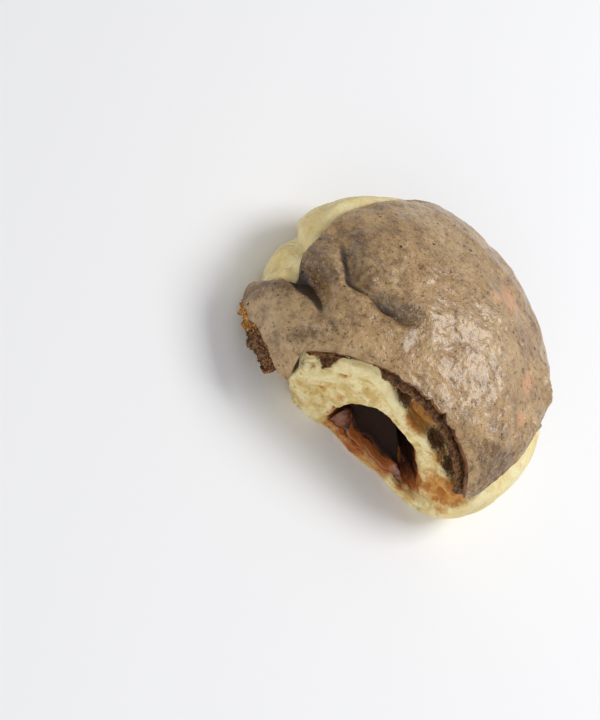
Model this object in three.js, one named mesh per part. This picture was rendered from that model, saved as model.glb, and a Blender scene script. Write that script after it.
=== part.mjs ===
// A coffee bun: a domed wheat bun under a baked coffee topping. One side is bitten away, and the
// bite shows torn crumb, a hollow and a dark chocolate filling. Beside the bite a flap of the
// topping hangs away from the side of the bun.
// Millimetres, +Z up. The origin is the middle of the flat base, and the bite faces -Y.
// Every piece is a surface over two parameters: the azimuth about the upright axis, in degrees
// from -Y towards +X, and a row that runs from the top of the dome down to the base.

import * as THREE from "three";

// The bun.
const bunRadius = 46;
const widestHeight = 13;
const domeHeight = 27.5;
const tornEdgeHeight = 34;
const baseRadius = 39.5;

// The topping, and the clear space between it and the bread. Its edge runs further in or out at
// some azimuths, as the bread's side does.
const toppingThickness = 1.8;
const toppingEdgeRadius = 42.5;
const skinGap = 0.5;
const edgeSwells = [
  { centre: 86, width: 26, out: -4.2 },
  { centre: 46, width: 9, out: 1.6 },
  { centre: -68, width: 12, out: 1.4 },
  { centre: -128, width: 22, out: -3 },
];
const sideSwells = [
  { centre: -82, width: 9, out: -1.8 },
  { centre: -97, width: 5, out: -2.6 },
];

// The bite: its face is almost upright, a little further out at the top than at the base.
const biteTopDepth = 28;
const biteBottomDepth = 27;
const biteTopCurl = 4.4;
const biteHalfWidth = 29;
const biteFrom = -40;
const biteTo = 44;

// The hollow that opens in the bite's face. Its mouth drops at the left end, along a slope, and at
// the right end, at these places along the face.
const hollowFrom = -18.5;
const hollowTo = 45;
const hollowTop = 19.6;
const hollowFloor = 2.4;
const hollowInnerRadius = 9;
const mouthLeft = { centre: -9.5, width: 4, drop: 5 };
const mouthSlope = { from: 8, to: 27, drop: 10.5 };
const mouthRight = { from: 22, to: 29, drop: 4 };

// The flap of topping, and the thin crust that stays on its underside.
const flapFrom = -71.5;
const flapTo = -40.5;
const flapTipRadius = 49.3;
const flapTipLeftHeight = 5.6;
const flapTipRightHeight = 11;
const flapLeftBend = { radius: 49.5, height: 18 };
const flapRightBend = { radius: 47.2, height: 15.5 };
const flapCornerLift = 2.6;
const flapCrustThickness = 1.5;
const flapRootShare = 0.67;
const flapRootAngle = 0.94;
const flapNarrowing = 1.25;
const flapDeepest = 2.8;

// How finely the surfaces are divided.
const coveredRows = 12;
const fineStep = 2.6;
const coarseStep = 6.8;
const endStep = 1.2;

const degrees = Math.PI / 180;
const mix = (a, b, share) => a + (b - a) * share;
const clamp01 = (value) => Math.min(1, Math.max(0, value));

function smoothStep(from, to, value) {
  const share = clamp01((value - from) / (to - from));
  return share * share * (3 - 2 * share);
}

// 1 between the two ends, falling to 0 over the given soft widths outside them.
function stretch(from, to, softFrom, softTo, value) {
  return smoothStep(from - softFrom, from, value) * (1 - smoothStep(to, to + softTo, value));
}

function bump(centre, width, value) {
  return Math.exp(-(((value - centre) / width) ** 2));
}

// Swellings round the axis, each at its own azimuth.
function swellAt(swells, azimuth) {
  return swells.reduce((sum, { centre, width, out }) => sum + out * bump(centre, width, azimuth), 0);
}

// A smooth uneven ring, from a few waves whose phases follow from the seed.
function unevenRing(azimuth, seed) {
  let sum = 0;
  for (let wave = 2; wave <= 6; wave += 1) {
    const phase = seed * 2.3 + wave * wave * 1.7;
    sum += Math.sin(wave * azimuth * degrees + phase) / wave;
  }
  return sum;
}

// Distance in plan from a point to the line between two points.
function distanceToLine(x, y, line) {
  const [ax, ay, bx, by] = line;
  const along = clamp01(((x - ax) * (bx - ax) + (y - ay) * (by - ay)) / ((bx - ax) ** 2 + (by - ay) ** 2));
  return Math.hypot(x - mix(ax, bx, along), y - mix(ay, by, along));
}

// Creases and swellings of the topping, each a line in plan with its depth and its width.
const toppingRelief = [
  { line: [-38, -3, -25, -15], depth: -1.5, width: 2.8 },
  { line: [-21, -13, -11, -12], depth: -1.2, width: 3 },
  { line: [-29, -9, -25, -9], depth: 0.9, width: 3.2 },
  { line: [-38, -9, -20, -23], depth: 1.1, width: 4 },
  { line: [-41, -16, -36, -22], depth: -2.2, width: 3 },
  { line: [-35, -23, -28, -27], depth: -1.2, width: 2.6 },
  { line: [-34, -28, -29, -30], depth: 1, width: 2.4 },
];

function reliefAt(x, y) {
  let height = 0;
  for (const { line, depth, width } of toppingRelief) {
    height += depth * Math.exp(-((distanceToLine(x, y, line) / width) ** 2));
  }
  return height + 0.35 * Math.sin(x / 6.1 + 1) * Math.sin(y / 7.3 + x / 17);
}

// Radius, in plan, at which the topping ends.
function toppingEdge(azimuth) {
  const open = toppingEdgeRadius + 0.7 * unevenRing(azimuth, 1) + swellAt(edgeSwells, azimuth);
  const x = biteDepth(Math.sin(azimuth * degrees) * tornEdgeHeight, 1) * Math.tan(azimuth * degrees);
  const torn = biteDepth(x, 1) / Math.cos(azimuth * degrees);
  const bitten = stretch(biteFrom + 8, biteTo - 6, 8, 7, azimuth);
  return mix(open, Math.min(torn, bunRadius - 2), bitten);
}

// How far the bite's face stands from the axis, by height share from the base to the top edge.
function biteDepth(x, heightShare) {
  const top = biteTopDepth + biteTopCurl * (x / biteHalfWidth) ** 2;
  return mix(biteBottomDepth, top, heightShare);
}

// A place on a surface: radius in plan, height, and the turn that skews it round the axis.
const place = (radius, height, turn = 0) => ({ radius, height, turn });

function domePlace(angle) {
  return place(bunRadius * Math.sin(angle), widestHeight + domeHeight * Math.cos(angle));
}

// How much of the flap there is at one azimuth. A layer that lies deeper in the flap is narrower.
function flapShare(azimuth, depth) {
  const narrower = Math.min(depth, flapDeepest) * flapNarrowing;
  return stretch(flapFrom + narrower, flapTo - narrower, 3.4, 2.4, azimuth);
}

// The flap runs from the dome's edge out and down to its free edge, bent by a middle point.
function flapPlace(azimuth, along) {
  const root = domePlace(Math.asin(toppingEdge(azimuth) / bunRadius) * flapRootAngle);
  const across = clamp01((azimuth - flapFrom) / (flapTo - flapFrom));
  const bend = {
    radius: mix(flapLeftBend.radius, flapRightBend.radius, smoothStep(0.2, 0.9, across)),
    height: mix(flapLeftBend.height, flapRightBend.height, across),
  };
  const ragged = 0.4 * Math.sin(across * 19) + 0.3 * Math.sin(across * 41 + 1);
  const reach = flapTipRadius - 2 * (2 * across - 1) ** 2 + ragged;
  const drop = mix(flapTipLeftHeight, flapTipRightHeight, across ** 1.6);
  const tip = { radius: reach, height: drop + flapCornerLift * bump(1, 0.2, across) };
  const near = (1 - along) ** 2;
  const middle = 2 * along * (1 - along);
  const far = along ** 2;
  return place(
    root.radius * near + bend.radius * middle + tip.radius * far,
    root.height * near + bend.height * middle + tip.height * far,
    mix(-1, 0.8, across) * along,
  );
}

// The line that the topping follows at one azimuth, from the top of the dome to its edge.
function toppingPath(azimuth, share, depth) {
  const edgeAngle = Math.asin(toppingEdge(azimuth) / bunRadius);
  const flap = flapShare(azimuth, depth);
  if (share <= flapRootShare) return domePlace((edgeAngle * flapRootAngle * share) / flapRootShare);
  const along = (share - flapRootShare) / (1 - flapRootShare);
  const dome = domePlace(edgeAngle * mix(flapRootAngle, 1, along));
  if (flap === 0) return dome;
  const hung = flapPlace(azimuth, along);
  return place(mix(dome.radius, hung.radius, flap), mix(dome.height, hung.height, flap), hung.turn * flap);
}

// A place set off from the topping's line, outwards, with the topping's relief added.
function toppingPlace(azimuth, share, offset) {
  const depth = Math.max(0, -offset);
  const here = toppingPath(azimuth, share, depth);
  const before = toppingPath(azimuth, Math.max(0, share - 0.02), depth);
  const after = toppingPath(azimuth, Math.min(1, share + 0.02), depth);
  const outX = before.height - after.height;
  const outZ = after.radius - before.radius;
  const size = Math.hypot(outX, outZ) || 1;
  const turned = (azimuth + here.turn) * degrees;
  const relief = reliefAt(here.radius * Math.sin(turned), -here.radius * Math.cos(turned));
  const out = offset + relief * smoothStep(0, 0.15, share);
  return place(here.radius + (outX / size) * out, here.height + (outZ / size) * out, here.turn);
}

// Radius of the bread's free side at a height: a dome over a rounded, slightly lobed lower edge.
function sideRadius(azimuth, height) {
  const lobes = 0.6 * unevenRing(azimuth, 4) + swellAt(sideSwells, azimuth);
  const lobed = bunRadius + lobes;
  if (height > widestHeight) {
    return lobed * Math.sqrt(Math.max(0, 1 - ((height - widestHeight) / domeHeight) ** 2));
  }
  const low = Math.sqrt(Math.max(0, 1 - ((widestHeight - height) / widestHeight) ** 2));
  const underFlap = stretch(-70, -36, 9, 8, azimuth);
  const lower = baseRadius + 0.5 * lobes - 5.5 * underFlap;
  return mix(lower, lobed, low);
}

// The side behind the flap is sunk, where the flap has come away from it.
function sunkUnderFlap(azimuth) {
  return 6.8 * stretch(-71, -38, 5, 8, azimuth);
}

const hollowShare = (azimuth) => stretch(hollowFrom + 2, hollowTo - 3, 2.4, 5, azimuth);

// Height of the hollow's mouth: a blunt left end, an arch, and a long slope down to the right.
function mouthHeight(azimuth) {
  const x = biteTopDepth * Math.tan(azimuth * degrees);
  const left = mouthLeft.drop * bump(mouthLeft.centre, mouthLeft.width, x);
  const slope = mouthSlope.drop * smoothStep(mouthSlope.from, mouthSlope.to, x);
  const right = mouthRight.drop * smoothStep(mouthRight.from, mouthRight.to, x);
  return Math.max(hollowFloor + 1.5, hollowTop - left - slope - right);
}

// How far the hollow reaches in from the face: less far towards its low right end.
function hollowDepth(azimuth) {
  const reach = biteTopDepth / Math.cos(azimuth * degrees) - hollowInnerRadius;
  return reach * mix(1, 0.7, smoothStep(14, 42, azimuth));
}

// Rows of the bread below the topping's edge. plain is the height share between the base and the
// topping's edge where nothing opens; mouth gives the height round the hollow; sunk is how far the
// row lies into the hollow, as a share of its depth; proud is how far it stands out of the bite.
const sideRows = [
  { plain: 0.95, proud: -0.6, mouth: (top, mouthTop) => top - 0.6, sunk: 0 },
  { plain: 0.88, proud: -2.2, mouth: (top, mouthTop) => mix(top, mouthTop, 0.14), sunk: 0 },
  { plain: 0.81, proud: -2.4, mouth: (top, mouthTop) => mix(top, mouthTop, 0.3), sunk: 0 },
  { plain: 0.74, proud: 0.9, mouth: (top, mouthTop) => mix(top, mouthTop, 0.44), sunk: 0 },
  { plain: 0.66, proud: 1.5, mouth: (top, mouthTop) => mix(top, mouthTop, 0.58), sunk: 0 },
  { plain: 0.58, proud: -0.4, mouth: (top, mouthTop) => mix(top, mouthTop, 0.78), sunk: 0 },
  { plain: 0.5, proud: 0.6, mouth: (top, mouthTop) => mouthTop + 0.7, sunk: 0 },
  { plain: 0.42, proud: 1.2, mouth: (top, mouthTop) => mouthTop - 0.6, sunk: 0.14 },
  { plain: 0.35, proud: 1.4, mouth: (top, mouthTop) => mouthTop - 1.4, sunk: 0.6 },
  { plain: 0.28, proud: 1.2, mouth: (top, mouthTop) => mix(hollowFloor, mouthTop, 0.78), sunk: 0.94 },
  { plain: 0.22, proud: 0.8, mouth: (top, mouthTop) => mix(hollowFloor, mouthTop, 0.45), sunk: 1 },
  { plain: 0.16, proud: 0.4, mouth: () => hollowFloor + 0.15, sunk: 0.97 },
  { plain: 0.11, proud: 0.2, mouth: () => hollowFloor, sunk: 0.5 },
  { plain: 0.06, proud: 0, mouth: () => hollowFloor - 0.1, sunk: 0.05 },
  { plain: 0.025, proud: 0, mouth: () => 1.1, sunk: 0 },
  { plain: 0, proud: -0.5, mouth: () => 0, sunk: 0 },
];

// The four rows that also carry the crust under the flap: round its free edge and back beneath it.
const flapRows = [
  { share: 1, beyond: 0.7, inset: 0.6 },
  { share: 1, beyond: 0.5, inset: 1 },
  { share: 0.88, beyond: 0, inset: 1 },
  { share: 0.7, beyond: 0, inset: 1.2 },
];

function sidePlace(azimuth, rowIndex) {
  const row = sideRows[rowIndex];
  const edge = toppingPath(azimuth, mix(1, flapRootShare, flapShare(azimuth, 0)), 0);
  const top = edge.height - skinGap - toppingThickness;
  const open = hollowShare(azimuth);
  const mouthTop = mouthHeight(azimuth);
  const height = mix(top * row.plain, row.mouth(top, mouthTop), open);
  const x = biteTopDepth * Math.tan(Math.min(55, Math.max(-55, azimuth)) * degrees);
  const bandFrom = smoothStep(-16, -4, x);
  const proud = row.proud < 0 ? row.proud * bandFrom : row.proud;
  const faceDepth = biteDepth(x, height / tornEdgeHeight) + proud + 0.5 * Math.sin(x / 2.9 + height / 3.7);
  const face = faceDepth / Math.max(0.5, Math.cos(azimuth * degrees));
  const free = sideRadius(azimuth, height) - sunkUnderFlap(azimuth) - (rowIndex === 0 ? 1.2 : 0);
  const facing = Math.abs(azimuth) < 62 ? Math.min(free, face) : free;
  return place(facing - open * row.sunk * hollowDepth(azimuth), height);
}

function flapCrustPlace(azimuth, row) {
  const crust = skinGap + toppingThickness + flapCrustThickness;
  const here = toppingPlace(azimuth, row.share, -crust * row.inset);
  return place(here.radius + row.beyond, here.height - 0.6 * row.beyond, here.turn);
}

// A third of the rows lies on the flap, or close along the topping's edge where there is none.
const rowShare = (index) => (index + 1) / coveredRows;

function breadRows(azimuth) {
  const rows = [];
  for (let i = 0; i < coveredRows; i += 1) {
    rows.push(toppingPlace(azimuth, rowShare(i), -toppingThickness - skinGap));
  }
  const flap = flapShare(azimuth, toppingThickness + skinGap);
  sideRows.forEach((row, index) => {
    const side = sidePlace(azimuth, index);
    if (index >= flapRows.length) {
      rows.push(side);
      return;
    }
    const crust = flapCrustPlace(azimuth, flapRows[index]);
    rows.push(place(mix(side.radius, crust.radius, flap), mix(side.height, crust.height, flap), crust.turn));
  });
  rows.push(place(rows[rows.length - 1].radius * 0.5, 0));
  return rows;
}

function toppingRows(azimuth) {
  const rows = [];
  for (let i = 0; i < coveredRows; i += 1) rows.push(toppingPlace(azimuth, rowShare(i), 0));
  for (let i = coveredRows - 1; i >= 0; i -= 1) {
    rows.push(toppingPlace(azimuth, rowShare(i), -toppingThickness));
  }
  return rows;
}

// Azimuths stand closer together across the bite and the flap, and closest at the flap's two ends.
function azimuthStep(azimuth) {
  const leftEnd = azimuth > flapFrom - 4 && azimuth < flapFrom + 4.5;
  const rightEnd = azimuth > flapTo - 6 && azimuth < flapTo + 3;
  if (leftEnd || rightEnd) return endStep;
  return azimuth < biteTo + 12 ? fineStep : coarseStep;
}

function azimuthSteps() {
  const steps = [];
  let azimuth = flapFrom - 16;
  const end = azimuth + 360;
  while (azimuth < end - 0.6 * coarseStep) {
    steps.push(azimuth > 180 ? azimuth - 360 : azimuth);
    azimuth += azimuthStep(azimuth);
  }
  return steps;
}

const placeToPoint = ({ radius, height, turn }, azimuth) => {
  const angle = (azimuth + turn) * degrees;
  return [radius * Math.sin(angle), -radius * Math.cos(angle), height];
};

// A closed skin from rows of points that go round the axis, with a point at each pole.
function closedSkin(azimuths, rowsAt, topHeight, bottomHeight) {
  const positions = [];
  const columns = azimuths.map((azimuth) => rowsAt(azimuth).map((row) => placeToPoint(row, azimuth)));
  const rowCount = columns[0].length;
  for (const column of columns) for (const point of column) positions.push(...point);
  const top = positions.length / 3;
  positions.push(0, 0, topHeight);
  positions.push(0, 0, bottomHeight);
  const faces = [];
  columns.forEach((_, column) => {
    const here = column * rowCount;
    const next = ((column + 1) % columns.length) * rowCount;
    faces.push(top, here, next);
    for (let row = 0; row < rowCount - 1; row += 1) {
      faces.push(here + row, here + row + 1, next + row);
      faces.push(next + row, here + row + 1, next + row + 1);
    }
    faces.push(here + rowCount - 1, top + 1, next + rowCount - 1);
  });
  const geometry = new THREE.BufferGeometry();
  geometry.setAttribute("position", new THREE.Float32BufferAttribute(positions, 3));
  geometry.setIndex(faces);
  geometry.computeVertexNormals();
  return geometry;
}

// The chocolate: a lumpy layer on the hollow's floor, thick at both ends of the mouth and at the
// back of the hollow, and thin between.
const filling = {
  from: -13,
  to: 36,
  columns: 17,
  rows: 9,
  clearance: 0.45,
  leftHeight: 5.6,
  rightHeight: 2.6,
  backHeight: 6.5,
};

function fillingHeight(azimuth, inward) {
  const x = biteTopDepth * Math.tan(azimuth * degrees);
  const left = filling.leftHeight * bump(-5, 4.2, x) * bump(0.12, 0.4, inward);
  const right = filling.rightHeight * bump(18, 5, x) * bump(0.2, 0.4, inward);
  const back = filling.backHeight * smoothStep(0.35, 0.95, inward);
  const lumps = 0.5 * Math.sin(x * 0.9) * Math.sin(inward * 11);
  const wanted = 1 + left + right + back + lumps;
  const room = (mouthHeight(azimuth) - hollowFloor) * mix(0.8, 0.6, inward) - 1;
  return Math.max(0.7, Math.min(wanted, room));
}

function fillingGeometry() {
  const { from, to, columns, rows, clearance } = filling;
  const bottom = hollowFloor + clearance;
  const layers = [[], []];
  for (let column = 0; column <= columns; column += 1) {
    const across = column / columns;
    const azimuth = mix(from, to, across);
    const face = biteBottomDepth / Math.cos(azimuth * degrees);
    const mouth = face - 1.6;
    const back = face - hollowDepth(azimuth) * 0.86;
    for (let row = 0; row <= rows; row += 1) {
      const inward = row / rows;
      const radius = mix(mouth, back, inward);
      const rounded = Math.sin(Math.PI * clamp01(0.06 + 0.88 * across)) ** 0.5;
      const height = 0.5 + (fillingHeight(azimuth, inward) - 0.5) * rounded;
      layers[0].push(placeToPoint(place(radius, bottom, 0), azimuth));
      layers[1].push(placeToPoint(place(radius, bottom + height, 0), azimuth));
    }
  }
  return slabBetween(layers[0], layers[1], columns + 1, rows + 1);
}

// A closed slab between two grids of points that share their outline in plan.
function slabBetween(lower, upper, columnCount, rowCount) {
  const faces = [];
  const lift = lower.length;
  const at = (column, row) => column * rowCount + row;
  const quad = (a, b, c, d) => faces.push(a, b, c, a, c, d);
  for (let column = 0; column < columnCount - 1; column += 1) {
    for (let row = 0; row < rowCount - 1; row += 1) {
      const corners = [at(column, row), at(column + 1, row), at(column + 1, row + 1), at(column, row + 1)];
      quad(...corners.map((corner) => corner + lift));
      quad(...corners.reverse());
    }
  }
  const rim = [];
  for (let column = 0; column < columnCount - 1; column += 1) rim.push(at(column, 0));
  for (let row = 0; row < rowCount - 1; row += 1) rim.push(at(columnCount - 1, row));
  for (let column = columnCount - 1; column > 0; column -= 1) rim.push(at(column, rowCount - 1));
  for (let row = rowCount - 1; row > 0; row -= 1) rim.push(at(0, row));
  rim.forEach((corner, index) => {
    const next = rim[(index + 1) % rim.length];
    quad(corner, next, next + lift, corner + lift);
  });
  const geometry = new THREE.BufferGeometry();
  geometry.setAttribute("position", new THREE.Float32BufferAttribute([...lower, ...upper].flat(), 3));
  geometry.setIndex(faces);
  geometry.computeVertexNormals();
  return geometry;
}

const breadMaterial = new THREE.MeshStandardMaterial({ color: 0xe2cf9b, roughness: 0.85, metalness: 0 });
const toppingMaterial = new THREE.MeshStandardMaterial({ color: 0x9d8460, roughness: 0.65, metalness: 0 });
const chocolateMaterial = new THREE.MeshStandardMaterial({ color: 0x2e1812, roughness: 0.25, metalness: 0 });

const group = new THREE.Group();
const add = (name, geometry, material) => {
  const mesh = new THREE.Mesh(geometry, material);
  mesh.name = name;
  group.add(mesh);
};

const azimuths = azimuthSteps();
const domeTop = widestHeight + domeHeight;
add("coffee_topping", closedSkin(azimuths, toppingRows, domeTop, domeTop - toppingThickness), toppingMaterial);
add("bun_bread", closedSkin(azimuths, breadRows, domeTop - toppingThickness - skinGap, 0), breadMaterial);
add("chocolate_filling", fillingGeometry(), chocolateMaterial);

export default group;
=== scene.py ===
# A coffee bun: a domed wheat bun under a thin baked coffee topping, bitten open on one side, with a
# flap of the topping hanging beside the bite. Shapes are worked out in millimetres and handed to
# Blender in metres. Azimuths are degrees about the upright axis, from -Y towards +X.

import bmesh
import bpy
import numpy as np
from mathutils import Matrix, Vector


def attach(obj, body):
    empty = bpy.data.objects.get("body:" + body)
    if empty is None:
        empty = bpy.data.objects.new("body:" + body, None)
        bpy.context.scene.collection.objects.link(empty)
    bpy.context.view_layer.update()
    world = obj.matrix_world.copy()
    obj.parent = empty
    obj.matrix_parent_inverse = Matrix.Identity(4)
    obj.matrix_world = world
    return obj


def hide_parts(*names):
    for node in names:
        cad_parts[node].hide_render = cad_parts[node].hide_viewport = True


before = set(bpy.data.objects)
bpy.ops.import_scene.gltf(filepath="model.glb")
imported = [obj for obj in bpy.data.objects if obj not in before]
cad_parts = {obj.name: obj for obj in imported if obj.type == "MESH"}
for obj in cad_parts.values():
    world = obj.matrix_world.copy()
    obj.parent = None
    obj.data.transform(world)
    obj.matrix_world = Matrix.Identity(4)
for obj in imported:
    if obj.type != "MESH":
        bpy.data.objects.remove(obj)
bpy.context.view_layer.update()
metresPerMillimetre = 0.001
print("frame loaded:", ", ".join(sorted(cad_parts)))


def mix(first, second, share):
    # first where the share is 0, second where it is 1, and in proportion between them
    return first + (second - first) * share


def smoothStep(start, end, value):
    # 0 before start, 1 after end, and 3s^2 - 2s^3 between them
    share = np.clip((value - start) / (end - start), 0.0, 1.0)
    return share * share * (3.0 - 2.0 * share)


def stretch(start, end, softStart, softEnd, value):
    # 1 between start and end, easing to 0 over the soft widths outside them
    return smoothStep(start - softStart, start, value) * (1.0 - smoothStep(end, end + softEnd, value))


def bump(centre, width, value):
    # the bell exp(-((value - centre) / width)^2)
    return np.exp(-(((value - centre) / width) ** 2))


def swellAt(swells, azimuth):
    # a sum of bells round the axis, each (centre, width, height)
    return sum(out * bump(centre, width, azimuth) for centre, width, out in swells)


def unevenRing(azimuth, seed):
    # sines of 2 to 6 waves round the axis, each as high as one over its count of waves
    turn = np.radians(azimuth)
    return sum(np.sin(wave * turn + seed * 2.3 + wave * wave * 1.7) / wave for wave in range(2, 7))


def spotShare(first, second, spots):
    # the sum of bells (a, b, width, height, share), held between 0 and 1
    total = 0.0
    for a, b, wide, high, share in spots:
        total = total + share * np.exp(-(((first - a) / wide) ** 2) - ((second - b) / high) ** 2)
    return np.clip(total, 0.0, 1.0)


def nearTo(first, second, start, end):
    # the share along a stretch of a line where it comes nearest, and the distance to it there
    a, b, c, d = start[0], start[1], end[0] - start[0], end[1] - start[1]
    along = np.clip(((first - a) * c + (second - b) * d) / (c**2 + d**2), 0, 1)
    return along, np.hypot(first - a - c * along, second - b - d * along)


def lineRelief(first, second, lines):
    # each line is a list of places (a, b, height, width), and adds height * exp(-(distance / width)^2)
    total = np.zeros(np.broadcast(first, second).shape)
    for line in lines:
        nearest = np.full(total.shape, 1e9)
        relief = np.zeros(total.shape)
        for start, end in zip(line[:-1], line[1:]):
            along, away = nearTo(first, second, start, end)
            bell = np.exp(-((away / mix(start[3], end[3], along)) ** 2))
            relief = np.where(away < nearest, mix(start[2], end[2], along) * bell, relief)
            nearest = np.minimum(nearest, away)
        total = total + relief
    return total


def sideOfLine(first, second, line):
    # distance from a line of places (a, b), more than 0 on its left side, by the nearest stretch of it
    nearest = np.full(first.shape, 1e9)
    signed = np.zeros(first.shape)
    for start, end in zip(line[:-1], line[1:]):
        away = nearTo(first, second, start, end)[1]
        turned = (end[0] - start[0]) * (second - start[1]) - (end[1] - start[1]) * (first - start[0])
        side = np.where(turned > 0, 1.0, -1.0)
        signed = np.where(away < nearest, side * away, signed)
        nearest = np.minimum(nearest, away)
    return signed


def cornerValue(corner, seed):
    # a seeded value from -1 to 1 for each whole-number corner, by mixing the bits of its place
    key = corner[..., 0] * 73856093 ^ corner[..., 1] * 19349663 ^ corner[..., 2] * 83492791
    key = (key ^ seed * 97531) & 0x7FFFFFFF
    key = ((key ^ (key >> 13)) * 1274126177) & 0x7FFFFFFF
    key = ((key ^ (key >> 15)) * 668265263) & 0x7FFFFFFF
    return (key ^ (key >> 16)) / 0x3FFFFFFF - 1.0


def cloud(points, size, seed):
    # value noise: seeded values at the corners of cubes of that size, eased by 6s^5 - 15s^4 + 10s^3
    scaled = points / size + seed * 17.31
    cell = np.floor(scaled).astype(np.int64)
    inside = scaled - cell
    ease = inside**3 * (inside * (inside * 6.0 - 15.0) + 10.0)
    total = 0.0
    for corner in range(8):
        step = np.array([corner & 1, corner >> 1 & 1, corner >> 2 & 1])
        weight = np.where(step == 1, ease, 1.0 - ease).prod(axis=-1)
        total = total + weight * cornerValue(cell + step, seed)
    return total


def clouds(points, size, seed, octaves):
    # octaves of value noise, each turned, half as wide and half as high as the one before
    turn = np.array([[0.36, 0.48, -0.8], [-0.8, 0.6, 0.0], [0.48, 0.64, 0.6]])
    total = 0.0
    for octave in range(octaves):
        total = total + cloud(points, size / 2**octave, seed + octave) / 2**octave
        points = points @ turn
    return total


def cloudRound(azimuth, size, seed):
    # the same noise along a line of azimuths
    return cloud(np.stack([azimuth, 0.0 * azimuth, 0.0 * azimuth], axis=-1), size, seed)


def drift(points, size, seed):
    # three clouds, as a shift along x, y and z
    return np.stack([cloud(points, size, seed + axis) for axis in range(3)], axis=-1)


def poreDistance(points, size, seed):
    # distance, in cubes of that size, to the nearest of one seeded point in each cube
    scaled = points / size
    cell = np.floor(scaled).astype(np.int64)
    nearest = np.full(points.shape[:-1], 9.0)
    for step in np.ndindex(3, 3, 3):
        corner = cell + np.array(step) - 1
        offsets = [cornerValue(corner, seed + axis) for axis in range(3)]
        spot = corner + 0.5 + 0.45 * np.stack(offsets, axis=-1)
        nearest = np.minimum(nearest, np.linalg.norm(scaled - spot, axis=-1))
    return nearest


def spreadAzimuths(count, start, end, denser):
    # azimuths all the way round, so many times denser between start and end, by eighths of a degree
    fine = np.linspace(-180.0, 180.0, 2881)
    weight = 1.0 + (denser - 1.0) * stretch(start, end, 16.0, 16.0, fine)
    reached = np.concatenate([[0.0], np.cumsum((weight[1:] + weight[:-1]) / 2.0)])
    return np.interp(np.linspace(0.0, reached[-1], count, endpoint=False), reached, fine)


def toPoints(place, azimuth):
    # radius, height and turn round the axis, to x, y and z
    radius, height, turn = place
    angle = np.radians(azimuth + turn)
    return np.stack([radius * np.sin(angle), -radius * np.cos(angle), height + 0.0 * angle], axis=-1)


def gridNormals(grid):
    # the step down the rows crossed with the step round the columns, made one long
    down = np.gradient(grid, axis=0)
    across = np.roll(grid, -1, axis=1) - np.roll(grid, 1, axis=1)
    normal = np.cross(down, across)
    return normal / np.maximum(np.linalg.norm(normal, axis=-1, keepdims=True), 1e-9)


def throughRows(rows, at, tension):
    # a cubic through the rows, which leaves each row along the line between its two neighbours
    index = np.clip(np.floor(at).astype(int), 0, len(rows) - 2)
    share = (at - index)[:, None, None]
    before = rows[np.maximum(index - 1, 0)]
    here = rows[index]
    after = rows[index + 1]
    beyond = rows[np.minimum(index + 2, len(rows) - 1)]
    leave = tension * (after - before)
    arrive = tension * (beyond - here)
    cubed, squared = share**3, share**2
    return (
        (2 * cubed - 3 * squared + 1) * here
        + (cubed - 2 * squared + share) * leave
        + (3 * squared - 2 * cubed) * after
        + (cubed - squared) * arrive
    )


def buildMesh(name, points, faces, channels, material):
    # points in millimetres; channels are float attributes with one value for each point
    mesh = bpy.data.meshes.new(name)
    mesh.from_pydata((points * metresPerMillimetre).tolist(), [], faces)
    for channel, values in channels.items():
        attribute = mesh.attributes.new(channel, "FLOAT", "POINT")
        attribute.data.foreach_set("value", np.ascontiguousarray(values, dtype=np.float32))
    mesh.polygons.foreach_set("use_smooth", np.ones(len(faces), dtype=bool))
    mesh.materials.append(material)
    mesh.update()
    piece = bpy.data.objects.new(name, mesh)
    bpy.context.scene.collection.objects.link(piece)
    return piece


def wrapFaces(rowCount, columnCount):
    # quads between neighbouring rows, closed round the columns, and a fan of triangles at each pole
    row = np.arange(rowCount - 1)[:, None] * columnCount
    ring = np.arange(columnCount)
    ringAfter = (ring + 1) % columnCount
    quads = [row + ring, row + columnCount + ring, row + columnCount + ringAfter, row + ringAfter]
    quads = np.stack(quads, axis=-1).reshape(-1, 4)
    top, bottom = rowCount * columnCount, rowCount * columnCount + 1
    last = (rowCount - 1) * columnCount
    upper = np.stack([np.full(columnCount, top), ring, ringAfter], axis=-1)
    lower = np.stack([last + ring, np.full(columnCount, bottom), last + ringAfter], axis=-1)
    return quads.tolist() + upper.tolist() + lower.tolist()


def wrapPiece(name, grid, channels, topPole, bottomPole, material):
    # a closed piece from rows round the axis, with a point at each pole, its channels a row's mean
    rowCount, columnCount = grid.shape[:2]
    poles = np.array([topPole, bottomPole])
    points = np.concatenate([grid.reshape(-1, 3), poles])
    spread = {}
    for channel, values in channels.items():
        ends = [values[0].mean(), values[-1].mean()]
        spread[channel] = np.concatenate([values.ravel(), ends])
    return buildMesh(name, points, wrapFaces(rowCount, columnCount), spread, material)


# The material helpers add a node to the tree of the socket that they are given, which is its id_data,
# and return the new node's output.
def addNode(tree, kind, inputs, **settings):
    node = tree.nodes.new("ShaderNode" + kind)
    for key, value in settings.items():
        setattr(node, key, value)
    for key, value in inputs.items():
        if isinstance(value, bpy.types.NodeSocket):
            tree.links.new(value, node.inputs[key])
        else:
            node.inputs[key].default_value = value
    return node


def startMaterial(name):
    material = bpy.data.materials.new(name)
    material.use_nodes = True
    tree = material.node_tree
    tree.nodes.clear()
    # the patterns follow the piece's own place, in metres
    return material, addNode(tree, "TexCoord", {}).outputs["Object"]


def noiseOf(place, size, detail, roughness=0.55, distortion=0.0):
    # size is the width of the largest grains in millimetres
    inputs = {"Vector": place, "Scale": 1.0 / (size * metresPerMillimetre), "Detail": detail}
    inputs.update({"Roughness": roughness, "Distortion": distortion})
    return addNode(place.id_data, "TexNoise", inputs).outputs["Fac"]


def poresOf(place, size):
    # the distance to the nearest of scattered points, about one size apart
    inputs = {"Vector": place, "Scale": 1.0 / (size * metresPerMillimetre)}
    return addNode(place.id_data, "TexVoronoi", inputs).outputs["Distance"]


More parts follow.
